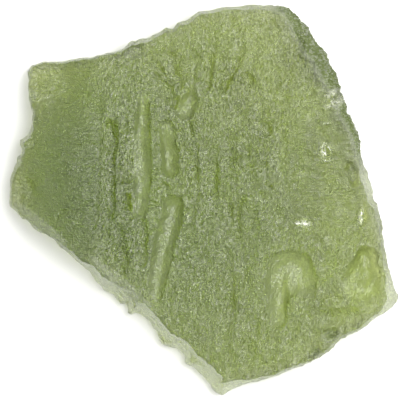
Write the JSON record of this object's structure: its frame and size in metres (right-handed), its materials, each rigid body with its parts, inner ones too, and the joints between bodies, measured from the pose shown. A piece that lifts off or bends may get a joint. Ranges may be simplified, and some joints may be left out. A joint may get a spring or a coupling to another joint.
{
  "type": "moldavite",
  "caption": "Flat shard of natural green glass with a sculpted, pitted upper face, broken edges and a small flat spot to rest on.",
  "frame": {"origin": "under the middle of the shard's bounding box, on the plane that it rests on", "axes": "+Z out of the sculpted face through the shard's thickness, +X to the right of that face, +Y up that face"},
  "size_m": [0.031, 0.0312, 0.0058],
  "materials": {
    "moldavite_glass": "etched and sculpted by nature, with a soft gloss, and glossier on fresh chips"
  },
  "bodies": {
    "root": {"moldavite": "moldavite_glass"}
  },
  "joints": []
}
